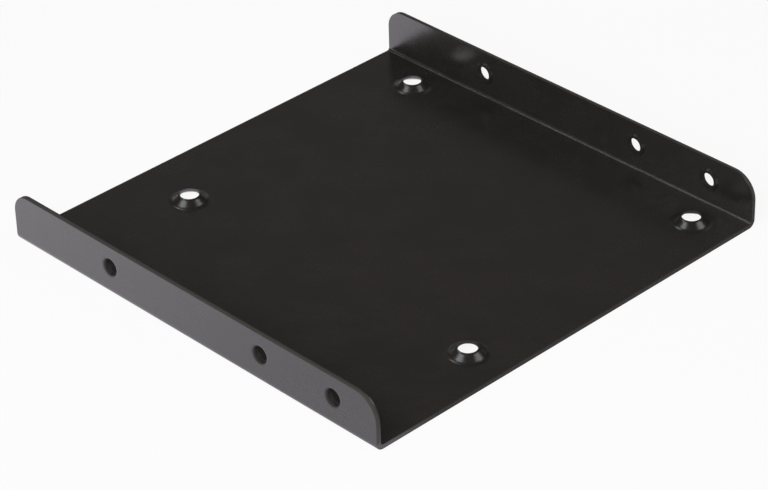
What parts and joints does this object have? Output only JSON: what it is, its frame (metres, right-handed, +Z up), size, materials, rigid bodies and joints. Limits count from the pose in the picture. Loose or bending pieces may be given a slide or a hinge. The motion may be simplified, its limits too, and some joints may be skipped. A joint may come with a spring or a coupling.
{
  "type": "drive bay adapter bracket",
  "caption": "Folded sheet steel tray with low side flanges and raised countersunk holes; carries a small drive in a larger drive bay.",
  "frame": {"origin": "underside of the floor, at the middle of the outline", "axes": "+Z up from the floor, +X across the flanges towards the one that the bosses are nearer, +Y towards the back end, where the drive's connectors face"},
  "size_m": [0.102, 0.1, 0.011],
  "materials": {
    "black_paint": "satin black paint on folded sheet steel"
  },
  "bodies": {
    "root": {"bracket": "black_paint"}
  },
  "joints": []
}
